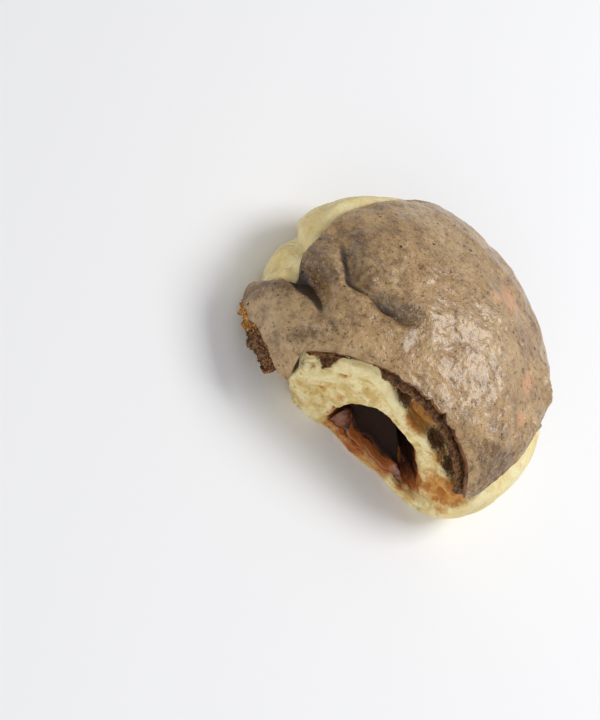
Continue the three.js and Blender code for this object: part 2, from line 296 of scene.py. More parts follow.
def remap(value, fromLow, fromHigh, toLow=0.0, toHigh=1.0):
    inputs = {"Value": value, "From Min": fromLow, "From Max": fromHigh, "To Min": toLow, "To Max": toHigh}
    node = addNode(value.id_data, "MapRange", inputs, interpolation_type="SMOOTHSTEP")
    return node.outputs["Result"]


def combine(operation, first, second):
    return addNode(first.id_data, "Math", {0: first, 1: second}, operation=operation).outputs["Value"]


def unsettle(value, noise, spread):
    # a value that the noise raises or lowers by up to the spread
    return combine("ADD", value, remap(noise, 0.3, 0.7, -spread, spread))


def blendColour(share, first, second):
    # first where the share is 0, second where it is 1
    return addNode(share.id_data, "Mix", {0: share, 6: first, 7: second}, data_type="RGBA").outputs[2]


def channelOf(material, name):
    return addNode(material.node_tree, "Attribute", {}, attribute_name=name).outputs["Fac"]


def linear(red, green, blue):
    # a colour given as it looks on a screen, 0 to 255, as the light that a surface gives back
    values = np.array([red, green, blue]) / 255.0
    values = np.where(values <= 0.04045, values / 12.92, ((values + 0.055) / 1.055) ** 2.4)
    return (*values.tolist(), 1.0)


def tint(colour, value, start, end, most, shade):
    # lays a shade over a colour, from none where the value is at start to most of it at end
    return blendColour(remap(value, start, end, 0.0, most), colour, linear(*shade))


def twoTones(value, start, end, first, second):
    # the first colour where the value is at start, the second where it is at end
    return blendColour(remap(value, start, end), linear(*first), linear(*second))


def finishMaterial(material, colour, roughness, bumps, constants):
    # each bump lies on the one before: its height, how high it stands in millimetres, and strength
    normal = None
    for height, depth, strength in bumps:
        inputs = {"Height": height, "Distance": depth * metresPerMillimetre, "Strength": strength}
        if normal:
            inputs["Normal"] = normal
        normal = addNode(height.id_data, "Bump", inputs).outputs["Normal"]
    inputs = {"Base Color": colour, "Roughness": roughness, "Normal": normal}
    inputs.update(constants)
    tree = material.node_tree
    shader = addNode(tree, "BsdfPrincipled", inputs)
    output = addNode(tree, "OutputMaterial", {})
    tree.links.new(shader.outputs["BSDF"], output.inputs["Surface"])
    return material


# The camera stands where the photograph was taken from, with the bun's axis leaning to the right.
cameraPlan = {
    "azimuth": -25.0,
    "elevation": 41.0,
    "roll": 60.0,
    "distance": 520.0,
    "aim": (0.0, 0.0, 13.0),
    "lens": 95.9,
    # pixels that the bun's centre lies right of and above the frame's centre
    "aside": (103.0, 5.0),
    "longSide": 720.0,
    "sensor": 36.0,
}


def viewAxes():
    # the unrolled camera's right, up and backward directions
    azimuth, elevation = np.radians([cameraPlan["azimuth"], cameraPlan["elevation"]])
    level = np.cos(elevation)
    back = np.array([np.sin(azimuth) * level, -np.cos(azimuth) * level, np.sin(elevation)])
    right = np.array([np.cos(azimuth), np.sin(azimuth), 0.0])
    return right, np.cross(back, right), back


def addCamera():
    right, up, back = viewAxes()
    roll = np.radians(cameraPlan["roll"])
    rolledRight = np.cos(roll) * right + np.sin(roll) * up
    rolledUp = -np.sin(roll) * right + np.cos(roll) * up
    toBun = Matrix(np.stack([rolledRight, rolledUp, back], axis=1).tolist())
    # the camera then turns aside a little, so that the bun falls right of the frame's centre
    pixelSize = cameraPlan["sensor"] / cameraPlan["longSide"]
    asideX, asideY = (pixels * pixelSize for pixels in cameraPlan["aside"])
    seenAt = Vector((asideX, asideY, -cameraPlan["lens"])).normalized()
    aside = seenAt.rotation_difference(Vector((0.0, 0.0, -1.0))).to_matrix()
    data = bpy.data.cameras.new("photoCamera")
    data.lens = cameraPlan["lens"]
    data.sensor_width = cameraPlan["sensor"]
    data.clip_start = 0.01
    camera = bpy.data.objects.new("photoCamera", data)
    camera.matrix_world = (toBun @ aside).to_4x4()
    place = np.array(cameraPlan["aim"]) + back * cameraPlan["distance"]
    camera.location = Vector((place * metresPerMillimetre).tolist())
    bpy.context.scene.collection.objects.link(camera)
    bpy.context.scene.camera = camera


# The main forms, shared by the pieces.
bunForm = {"radius": 46.0, "widestHeight": 13.0, "domeHeight": 27.5, "baseRadius": 39.5}
biteForm = {
    "topDepth": 28.0, "bottomDepth": 27.0, "topCurl": 4.4, "halfWidth": 29.0, "tornHeight": 34.0,
    "start": -40.0, "end": 44.0, "faceEnd": 62.0,
}
hollowForm = {"start": -18.5, "end": 45.0, "top": 19.6, "floor": 2.4, "innerRadius": 9.0}
flapForm = {
    "start": -66.5, "end": -46.6, "tipRadius": 50.0, "rootShare": 0.67, "rootAngle": 0.94,
    "leftTurn": -5.6, "rightTurn": 12.6, "narrowing": 0.9,
}
toppingForm = {
    "thickness": 1.8,
    "edgeRadius": 42.5,
    "edgeSwells": [(86, 26, -4.2), (46, 9, 1.6), (-68, 12, 1.4), (-128, 22, -3)],
    "notches": [(15.2, 1.3, -1.1), (24, 1, -0.6), (4.5, 1.1, -0.6), (36, 1.6, -0.7),
                (-14, 1.6, 0.4)],
    "tornStart": -42.0,
    "tornEnd": 38.0,
}
domeTop = bunForm["widestHeight"] + bunForm["domeHeight"]


def biteDepth(x, heightShare):
    # the face's distance from the axis: flat at the base, curled outwards at both ends of the top
    top = biteForm["topDepth"] + biteForm["topCurl"] * (x / biteForm["halfWidth"]) ** 2
    return mix(biteForm["bottomDepth"], top, heightShare)


def alongFace(azimuth):
    # x where that azimuth meets the top of the bite's face
    return biteForm["topDepth"] * np.tan(np.radians(azimuth))


def domePlace(angle):
    # an ellipse from the top of the dome, with its centre at the bun's widest height
    height = bunForm["widestHeight"] + bunForm["domeHeight"] * np.cos(angle)
    return np.stack([bunForm["radius"] * np.sin(angle), height, 0.0 * angle])


def tornShare(azimuth):
    # 1 where the topping's edge is torn along the bite
    return stretch(toppingForm["tornStart"], toppingForm["tornEnd"], 4, 7, azimuth)


def toppingEdge(azimuth, ragged):
    # the topping's outline in plan: round on the free side, and along the bite's face where it is torn
    turn = np.radians(azimuth)
    free = toppingForm["edgeRadius"] + 0.7 * unevenRing(azimuth, 1)
    free = free + swellAt(toppingForm["edgeSwells"], azimuth)
    x = biteDepth(np.sin(turn) * biteForm["tornHeight"], 1.0) * np.tan(turn)
    torn = np.minimum(biteDepth(x, 1.0) / np.cos(turn), bunForm["radius"] - 2.0)
    rough = 0.4 * cloudRound(azimuth, 2.6, 5) + 0.25 * cloudRound(azimuth, 1.1, 6)
    rough = rough + swellAt(toppingForm["notches"], azimuth)
    soft = 0.35 * cloudRound(azimuth, 9.0, 7)
    return mix(free + ragged * soft, torn + ragged * rough, tornShare(azimuth))


def acrossFlap(azimuth):
    # 0 at the flap's left edge and 1 at its right edge
    return np.clip((azimuth - flapForm["start"]) / (flapForm["end"] - flapForm["start"]), 0, 1)


def flapShare(azimuth, depth):
    # how much of the flap there is: a layer that lies deeper in it is narrower
    narrower = np.minimum(depth, 2.8) * flapForm["narrowing"]
    return stretch(flapForm["start"] + narrower, flapForm["end"] - narrower, 3.4, 1.7, azimuth)


def flapCut(azimuth):
    # the share of the flap's length that the topping leaves bare, where its crust shows beyond it
    across = acrossFlap(azimuth)
    uneven = 0.03 * cloudRound(azimuth, 1.7, 33) + 0.015 * cloudRound(azimuth, 0.7, 34)
    bare = 0.06 + 0.07 * smoothStep(0.05, 0.35, across) + 0.1 * stretch(0.5, 0.74, 0.25, 0.24, across)
    return bare + uneven


def flapPlace(azimuth, along, ragged):
    # a curve from the dome's edge down to the free edge, bent by a middle point (a quadratic Bezier)
    rootAngle = np.arcsin(toppingEdge(azimuth, 0.0) / bunForm["radius"]) * flapForm["rootAngle"]
    root = domePlace(rootAngle)
    across = acrossFlap(azimuth)
    bend = [mix(49.5, 47.2, smoothStep(0.2, 0.9, across)), mix(18.0, 19.0, across)]
    frayed = 0.7 * cloudRound(azimuth, 2.2, 31) + 0.35 * cloudRound(azimuth, 0.9, 32)
    frayed = ragged * (frayed - 0.9 * bump(-54.0, 1.6, azimuth))
    reach = flapForm["tipRadius"] - 1.2 * across - 2.8 * across**4 + 0.3 * frayed
    low = mix(3.8, 7.8, across**1.35) + 3.4 * bump(0, 0.09, across) - frayed
    low = low + 2.6 * smoothStep(0.6, 1, across) + 2.0 * smoothStep(0.88, 1, across)
    near, middle, far = (1 - along) ** 2, 2 * along * (1 - along), along**2
    radius = root[0] * near + bend[0] * middle + reach * far
    height = root[1] * near + bend[1] * middle + low * far
    return np.stack([radius, height, mix(flapForm["leftTurn"], flapForm["rightTurn"], across) * along])


def toppingPath(azimuth, share, depth, ragged, cut=1.0):
    # the line that the topping follows, from the top of the dome (share 0) to its edge (share 1)
    rootShare, rootAngle = flapForm["rootShare"], flapForm["rootAngle"]
    edgeAngle = np.arcsin(toppingEdge(azimuth, ragged) / bunForm["radius"])
    along = np.clip((share - rootShare) / (1 - rootShare), 0, 1)
    inner = edgeAngle * rootAngle * share / rootShare
    outer = edgeAngle * mix(rootAngle, 1.0, along)
    dome = domePlace(np.where(share <= rootShare, inner, outer))
    flap = np.where(share <= rootShare, 0.0, flapShare(azimuth, depth))
    return mix(dome, flapPlace(azimuth, along * (1.0 - cut * flapCut(azimuth)), ragged), flap)


toppingRelief = {
    # creases and swellings in plan: from x, y to x, y, then height and width
    "lines": [
        # the long crease, from the left edge to the middle of the dome
        [(-38, 3, -1.2, 2.2), (-34.5, -5.7, -2.5, 2.1), (-31, -12.2, -2.5, 1.9), (-25, -13, -1.9, 1.7),
         (-20.5, -14.6, -2.3, 1.9), (-16, -15, -1.8, 2.2), (-11, -12.5, -0.6, 2.2)],
        # the ridge outside it
        [(-42, -7.5, 0.5, 2.6), (-36.8, -10.4, 1.5, 2.6), (-33, -15.5, 1.5, 2.4), (-27, -18.5, 1.3, 2.6),
         (-21.5, -20.5, 0.8, 3), (-15, -21, 0.5, 3)],
        # the deep fold above the flap
        [(-43.5, -13.2, -1.8, 2.6), (-41, -13.5, -4, 2.9), (-39, -14.2, -5.6, 3),
         (-37, -15.5, -5.6, 3), (-35.2, -17.6, -4.7, 2.6), (-33.4, -20.6, -2.8, 2), (-31.2, -24, -0.8, 1.6)],
        # a second, shallow hollow on the near side of the dome
        [(-9, -19, -0.4, 3), (-3, -14, -0.6, 3.2), (3, -8, -0.3, 3)],
        # a slow swelling of the far side
        [(-16, 38, 1.5, 11), (0, 39, 1.7, 11), (12, 37, 1.9, 11), (20, 31, 1.2, 9)],
        [(30, 22, 0.8, 7), (38, 10, 1.6, 6), (42, 1, 0.6, 6)],
    ],
    # what only the fine surface holds
    "fineLines": [
        [(-31.5, -2.5, 0.7, 1.8), (-28.5, -6.5, 0.8, 1.6)],
        [(-22.5, -9.5, 0.5, 1.6), (-19, -10.6, 0.6, 1.5), (-15.5, -10.2, 0.4, 1.6)],
        [(-19.5, -17.6, 0.5, 1.2), (-16.5, -18.4, 0.6, 1.2), (-13, -17.6, 0.4, 1.3)],
        [(-27.4, -9.8, 1, 1.5), (-25.6, -10.8, 0.8, 1.4)],
        [(-29, -5.5, 0.5, 1.8), (-25, -7, 0.4, 1.6)],
        [(-34, 3, 0.5, 2.2), (-31, 1, 0.4, 2.2)],
        [(-33.2, -26.8, 0.9, 1.1), (-31.6, -26.4, 0.9, 1)],
        [(-33, -30.9, 0.7, 1.2), (-32.2, -30.3, 0.5, 1)],
        [(-29.5, -24.5, -0.6, 0.8), (-27.6, -27.2, -0.7, 0.8)],
        [(-24, -28.2, 0.5, 2.2), (-18, -27.5, 0.4, 2.4)],
        [(16, 8, -0.35, 0.8), (19, 8.4, -0.3, 0.8)],
        [(36, -3, 1, 1.4), (38.6, -0.6, 1.1, 1.3)],
        [(30, 13.5, 0.9, 1.4), (37.8, 8.9, 1, 1.4)],
    ],
}


def broadRelief(x, y):
    # the main creases over a slow swell of two crossed sines
    swell = 0.35 * np.sin(x / 6.1 + 1) * np.sin(y / 7.3 + x / 17)
    return lineRelief(x, y, toppingRelief["lines"]) + swell


def toppingPlace(azimuth, share, offset, ragged, cut=1.0):
    # a place set off from the topping's line along its normal, with the broad relief added
    depth = np.maximum(0.0, -offset)
    here = toppingPath(azimuth, share, depth, ragged, cut)
    before = toppingPath(azimuth, np.maximum(0.0, share - 0.02), depth, ragged, cut)
    after = toppingPath(azimuth, np.minimum(1.0, share + 0.02), depth, ragged, cut)
    outward = np.stack([before[1] - after[1], after[0] - before[0]])
    outward = outward / np.maximum(np.hypot(*outward), 1e-9)
    points = toPoints(here, azimuth)
    out = offset + broadRelief(points[..., 0], points[..., 1]) * smoothStep(0, 0.15, share)
    return np.stack([here[0] + outward[0] * out, here[1] + outward[1] * out, here[2]])


# The coffee topping.
toppingSkin = {
    "columns": 400,
    "outerRows": 178,
    "innerRows": 64,
    # azimuths between which the columns are denser, and how many times
    "denser": (-84.0, 58.0, 2.4),
    # the round lip: the share of the way that it takes, and its rows
    "lip": 0.02,
    "lipRows": 8,
    # where it is baked darker, with painted shade along the crease, the deep fold and the dome's side by it;
    # where paler; and where thin; in plan: x, y, width across, width along, share
    "bakedAndShade": [(-41, -9, 4, 8, 0.8), (-34, 2, 8, 9, 0.4), (-38, -14, 5, 4, 0.9), (-22, -14, 9, 4, 0.4),
              (-32, -6, 5, 5, 0.4), (-14, -14, 6, 4, 0.4), (31, -24, 8, 7, 1.2), (38, -12, 6, 10, 0.5),
              (-29, -26, 4, 3, 0.5), (16, -27, 10, 3, 0.4), (-40.5, -18, 4, 3, 0.6), (-45, -19, 2, 4, 0.5),
              (-33, -29.5, 3, 2.5, 0.7), (-29, -10.5, 3, 3, 0.3), (-23.5, -11, 4, 2.6, 0.3),
              (-17, -12.8, 4, 2.6, 0.4), (-11.5, -12, 4, 3, 0.3), (-32, 3, 3, 4, 0.4)],
    "pale": [(-42, -28, 9, 8, 0.65), (-20, 24, 14, 9, 0.7), (8, 8, 16, 14, 0.2), (-37, -9, 3, 4, 0.3)],
    "thin": [(10.5, 18.5, 4, 6, 1), (26.5, 2.2, 3, 4.4, 0.9), (5, 13, 2, 2.4, 0.8),
             (30, -8, 2.6, 3, 0.8)],
}


def toppingMaterial():
    material, place = startMaterial("bakedCoffeeTopping")
    broad = noiseOf(place, 16.0, 2.0)
    patch = noiseOf(place, 5.0, 4.0, 0.6)
    grain = noiseOf(place, 1.3, 5.0, 0.65)
    fine = noiseOf(place, 0.45, 3.0, 0.6)
    pinholes = remap(poresOf(place, 6.5), 0.035, 0.075, 1.0, 0.0)
    specks = remap(poresOf(place, 2.1), 0.08, 0.17, 1.0, 0.0)
    colour = twoTones(broad, 0.3, 0.7, (170, 131, 82), (194, 158, 108))
    colour = blendColour(channelOf(material, "pale"), colour, linear(206, 176, 132))
    colour = tint(colour, patch, 0.4, 0.68, 0.6, (126, 94, 58))
    # darker spots: baked tone, and painted shade along the crease, the deep fold and the dome's side by the
    # fold
    bakedAndShade = unsettle(channelOf(material, "bakedAndShade"), patch, 0.25)
    colour = tint(colour, bakedAndShade, 0.1, 1.0, 0.85, (108, 76, 42))
    colour = tint(colour, grain, 0.5, 0.7, 0.45, (208, 182, 136))
    colour = tint(colour, grain, 0.48, 0.3, 0.8, (76, 52, 28))
    # painted highlights: fine pale specks stand in for glints on the grains
    colour = tint(colour, fine, 0.6, 0.72, 0.7, (236, 216, 172))
    # painted shade: the creases and the deep fold are painted dark, as where shade falls in them
    colour = tint(colour, channelOf(material, "creaseShade"), 0.1, 0.9, 0.95, (40, 26, 16))
    thin = combine("MULTIPLY", channelOf(material, "thin"), remap(grain, 0.25, 0.5, 0.3, 1.0))
    colour = tint(colour, thin, 0.15, 0.9, 0.75, (224, 164, 116))
    tornPart = combine("MULTIPLY", channelOf(material, "torn"), remap(grain, 0.25, 0.5, 0.5, 1.0))
    tornColour = twoTones(patch, 0.4, 0.6, (70, 38, 22), (142, 84, 44))
    colour = blendColour(tornPart, colour, tornColour)
    colour = blendColour(pinholes, colour, linear(40, 26, 16))
    colour = blendColour(combine("MULTIPLY", specks, 0.6), colour, linear(70, 48, 30))
    roughness = remap(grain, 0.3, 0.7, 0.3, 0.46)
    pebbles = noiseOf(place, 0.75, 1.0, 0.5)
    sugar = noiseOf(place, 0.36, 1.0, 0.5)
    bumps = [(sugar, 0.15, 1.0), (pebbles, 0.22, 1.0), (specks, -0.15, 0.7), (pinholes, -0.6, 0.9)]
    constants = {"Specular IOR Level": 0.6, "Coat Weight": 0.4, "Coat Roughness": 0.2}
    return finishMaterial(material, colour, roughness, bumps, constants)


def lipThinning(share):
    # how far each side draws in as the layer thins to a round lip over its last stretch
    last = np.clip((share - 1.0 + toppingSkin["lip"]) / toppingSkin["lip"], 0, 1)
    return toppingForm["thickness"] / 2.0 * (1.0 - np.sqrt(1.0 - last**2))


def makeTopping():
    azimuth = spreadAzimuths(toppingSkin["columns"], *toppingSkin["denser"])
    lipRows = toppingSkin["lipRows"]
    spread = np.linspace(0.012, 1.0, toppingSkin["outerRows"] - lipRows)
    rounding = 1.0 - toppingSkin["lip"] * (1.0 - np.sin(np.linspace(0.15, 0.5, lipRows) * np.pi))
    outer = np.concatenate([spread[spread < rounding[0]], rounding])
    inward = np.linspace(rounding[0] - 0.01, 0.012, toppingSkin["innerRows"])
    inner = np.concatenate([rounding[::-1][1:], inward])
    share = np.concatenate([outer, inner])[:, None]
    offset = np.concatenate([-lipThinning(outer), -toppingForm["thickness"] + lipThinning(inner)])[:, None]
    grid = toPoints(toppingPlace(azimuth, share, offset, 1.0), azimuth)
    x, y = grid[..., 0], grid[..., 1]
    outside = np.concatenate([np.ones(len(outer)), np.zeros(len(inner))])[:, None]
    # lumps of six sizes, the smaller ones pulled sideways so that they run together as wrinkles
    warp = 0.9 * drift(grid, 4.2, 40)
    fine = 0.44 * clouds(grid, 7.5, 11, 2) + 0.18 * clouds(grid + warp, 2.9, 14, 2)
    fine = fine + 0.07 * clouds(grid + 0.6 * warp, 1.25, 17, 2)
    wrinkles = 0.16 * smoothStep(0.35, 0.0, np.abs(cloud(grid + warp, 3.6, 21)))
    fine = fine - wrinkles * smoothStep(-0.2, 0.4, cloud(grid, 11.0, 22))
    pits = smoothStep(0.34, 0.16, poreDistance(grid, 3.4, 51)) * smoothStep(-0.1, 0.5, cloud(grid, 8.0, 24))
    fineLines = lineRelief(x, y, toppingRelief["fineLines"])
    fine = fine - 0.22 * pits + fineLines
    edgeFade = mix(1.0, 0.55, smoothStep(0.9, 1.0, share))
    grid = grid + gridNormals(grid) * (fine * outside * edgeFade)[..., None]
    creases = lineRelief(x, y, toppingRelief["lines"]) + fineLines
    # painted shade: a share for a dark colour in the creases and the deep fold, by how deep they are
    creaseShade = smoothStep(-0.7, -2.8, creases) * outside
    bakedAndShade, pale, thin = (spotShare(x, y, toppingSkin[name]) for name in ("bakedAndShade", "pale", "thin"))
    bitten = stretch(biteForm["start"] + 3, biteForm["end"] - 3, 5, 4, azimuth)
    torn = np.maximum(bitten * smoothStep(0.985, 0.998, share), 1.0 - outside)
    channels = {"creaseShade": creaseShade, "bakedAndShade": bakedAndShade, "pale": pale, "thin": thin * outside, "torn": torn}
    channels = {name: values + 0.0 * x for name, values in channels.items()}
    poles = [(0, 0, domeTop), (0, 0, domeTop - toppingForm["thickness"])]
    return wrapPiece("toppingSkin", grid, channels, *poles, toppingMaterial())


# The bread.
breadForm = {
    "sideSwells": [(-119, 6, 0.6), (-109, 5, 0.8), (-97, 12, -1.1), (-80.5, 4, -1.6),
                   (44, 5, -1.3), (60, 6, 0.7), (82, 12, 1)],
    # furrows and lumps low on the left side: y, z, height and width
    "sideLines": [
        [(16, 2.5, -2, 2.2), (10, 8, -3.2, 2.3), (5.5, 12.1, -3.8, 2.3), (3, 14.5, -4, 2.3),
         (0, 17.3, -3.8, 2.3), (-5, 22, -2.6, 2)],
        [(5, 13, 1.4, 2.8), (7, 17, 1.2, 2.8)],
        [(11.5, 12, -0.9, 1.6), (9.5, 18, -0.7, 1.5)],
        [(-5, 10, 0.8, 2.4), (-6.5, 15, 0.8, 2.4)],
        [(-9.5, 13, -0.8, 1.4), (-10.5, 19, -1.2, 1.2)],
        [(22, 8, -0.6, 2.4), (20, 16, -0.4, 2.4)],
    ],
    # where the side draws in behind the flap and below it: how far, from and to which azimuth, the soft
    # widths outside them, and the share that is lost between two heights
    "drawnIn": [
        (6.8, -68, -42, 4, 8, 0, 11, 20),
        (1.6, -54, -41, 6, 4, 2.7, 11, 20),
        (2.2, -60, -33, 6, 5, 1, 1, 8),
    ],
    # the crust under the flap: its thickness, and the azimuths over which it ends
    "crust": 1.5,
    "crustEnd": (-50.6, -49.2),
    # how far the bread draws back beside the flap
    "besideFlap": 1.5,
    # x from and to which the crust turns from golden to brown
    "toasted": (-42.5, -38.5),
    # control rows, counted from the dome's top, over which the relief starts and then ends
    "reliefRows": (9.5, 11.8, 26.4, 27.2),
    "columns": 420,
    "denser": (-78.0, 56.0, 3.2),
    "hiddenRows": 20,
    "sideRows": 176,
    "baseRows": 6,
    "tension": 0.42,
}
crustDepth = toppingForm["thickness"] + 0.5 + breadForm["crust"]
# Rows below the topping's edge: plain height share, how far the row stands out of the bite, its
# height round the hollow as a mix of two levels and a rise, and how far it lies in the hollow.
breadRowPlan = [
    (0.95, -0.6, "top", "top", 0, -0.6, 0),
    (0.88, -0.8, "top", "mouth", 0.16, 0, 0),
    (0.81, -0.4, "top", "mouth", 0.32, 0, 0),
    (0.74, 0.4, "top", "mouth", 0.48, 0, 0),
    (0.66, 0.8, "top", "mouth", 0.64, 0, 0),
    (0.58, 0.3, "top", "mouth", 0.82, 0, 0),
    (0.5, 0.6, "mouth", "mouth", 0, 0.7, 0),
    (0.42, 1.2, "mouth", "mouth", 0, -0.6, 0.14),
    (0.35, 1.4, "mouth", "mouth", 0, -1.4, 0.6),
    (0.28, 1.2, "floor", "mouth", 0.78, 0, 0.94),
    (0.22, 0.8, "floor", "mouth", 0.45, 0, 1),
    (0.16, 0.4, "floor", "floor", 0, 0.15, 0.97),
    (0.11, 0.2, "floor", "floor", 0, 0, 0.5),
    (0.06, 0, "floor", "floor", 0, -0.1, 0.05),
    (0.025, 0, "base", "base", 0, 1.1, 0),
    (0, -0.5, "base", "base", 0, 0, 0),
]
# Rows that also carry the crust under the flap: share along it, whether it stops where the topping
# does (1) or goes on to the flap's own edge (0), how far out it stands, and how deep it lies.
crustRowPlan = [(1, 1, 0.2, 0.35), (1, 0, 0, 0.45), (0.975, 0, -0.3, 1), (0.75, 0, 0, 1)]


def sideRadius(azimuth, height):
    # the bread's free side: the dome's ellipse above its widest height, a quarter round below it
    lobes = 0.6 * unevenRing(azimuth, 4) + swellAt(breadForm["sideSwells"], azimuth)
    widest = bunForm["widestHeight"]
    above = np.sqrt(np.maximum(0.0, 1.0 - ((height - widest) / bunForm["domeHeight"]) ** 2))
    low = np.sqrt(np.maximum(0.0, 1.0 - (np.clip(widest - height, 0, widest) / widest) ** 2))
    lower = bunForm["baseRadius"] + 0.5 * lobes - 7.0 * stretch(-70, -35, 9, 8, azimuth)
    lobed = bunForm["radius"] + lobes
    return np.where(height > widest, lobed * above, mix(lower, lobed, low))


def mouthHeight(azimuth):
    # the hollow's mouth: a blunt left end, an arch, and a long slope down to the right
    x = alongFace(azimuth)
    height = hollowForm["top"] - 5 * bump(-9.5, 4, x)
    height = height - 10.5 * smoothStep(8, 27, x) - 4 * smoothStep(22, 29, x)
    return np.maximum(hollowForm["floor"] + 1.5, height)


def hollowDepth(azimuth):
    # how far the hollow reaches behind the face, less towards its right end
    reach = biteForm["topDepth"] / np.cos(np.radians(azimuth)) - hollowForm["innerRadius"]
    return reach * mix(1.0, 0.7, smoothStep(14, 42, azimuth))


def breadControlRows(azimuth):
    # rows of places x, y, z from the dome's top to the base, each with its share of torn face, hollow
    # and crust
    rows = []
    still = 0.0 * azimuth
    # the crust stops short of the flap's right edge, and the layer under the topping with it
    crustEnd = 1.0 - smoothStep(*breadForm["crustEnd"], azimuth)
    bare = (1.0 - crustEnd) * flapShare(azimuth, 0.0)
    reached = (1.0 - (1.0 - flapForm["rootShare"]) * bare) * (1.0 - 0.025 * tornShare(azimuth))
    for share in (np.arange(12) + 1.0) / 12.0:
        clear = 1.2 * smoothStep(1.0, 0.85, share)
        place = toppingPlace(azimuth, share * reached, still - toppingForm["thickness"] + 0.05 - clear, 0.0)
        rows.append([*place, still, still, still])
    flap = flapShare(azimuth, toppingForm["thickness"] + 0.5) * crustEnd
    edgeShare = mix(1.0, flapForm["rootShare"], flapShare(azimuth, 0.0))
    top = toppingPath(azimuth, edgeShare, 0.0, 0.0)[1] - toppingForm["thickness"] - 0.1
    opened = stretch(hollowForm["start"] + 2, hollowForm["end"] - 3, 2.4, 5, azimuth)
    levels = {"top": top, "mouth": mouthHeight(azimuth), "floor": hollowForm["floor"], "base": 0.0}
    x = alongFace(np.clip(azimuth, -55, 55))
    bandShare = smoothStep(-16, -4, x)
    beside = breadForm["besideFlap"] * bump(-47.6, 1.4, azimuth) * (1 - flap)
    for index, (plain, proud, level, nextLevel, part, rise, sunk) in enumerate(breadRowPlan):
        height = mix(levels[level], levels[nextLevel], part) + rise
        height = mix(top * plain, height, opened)
        out = proud * bandShare if proud < 0 else proud
        faceDepth = biteDepth(x, height / biteForm["tornHeight"]) + out
        faceDepth = faceDepth + 0.5 * np.sin(x / 2.9 + height / 3.7)
        face = faceDepth / np.maximum(0.5, np.cos(np.radians(azimuth)))
        free = sideRadius(azimuth, height)
        for amount, *span, lost, low, high in breadForm["drawnIn"]:
            free = free - amount * stretch(*span, azimuth) * (1 - lost * smoothStep(low, high, height))
        free = free - beside
        # there is no face beyond these azimuths
        face = np.where(np.abs(azimuth) < biteForm["faceEnd"], face, free + 9.0)
        radius = np.minimum(free, face) - opened * sunk * hollowDepth(azimuth)
        torn = smoothStep(-0.3, 1.2, free - face)
        crusted = still
        turn = still
        if index < len(crustRowPlan):
            share, cut, beyond, inset = crustRowPlan[index]
            crust = toppingPlace(azimuth, share + still, still - crustDepth * inset, 1.0, cut)
            radius = mix(radius, crust[0] + beyond, flap)
            height = mix(height, crust[1] - 0.6 * beyond, flap)
            turn = crust[2] * crustEnd
            crusted = flap
        rows.append([radius, height, turn, torn, opened * sunk, crusted])
    rows.append([rows[-1][0] * 0.5, still, still, still, still, still])
    rows = np.stack([np.stack(row) for row in rows])
    points = toPoints(rows[:, :3].transpose(1, 0, 2), azimuth)
    return np.concatenate([points, rows[:, 3:].transpose(0, 2, 1)], axis=-1)


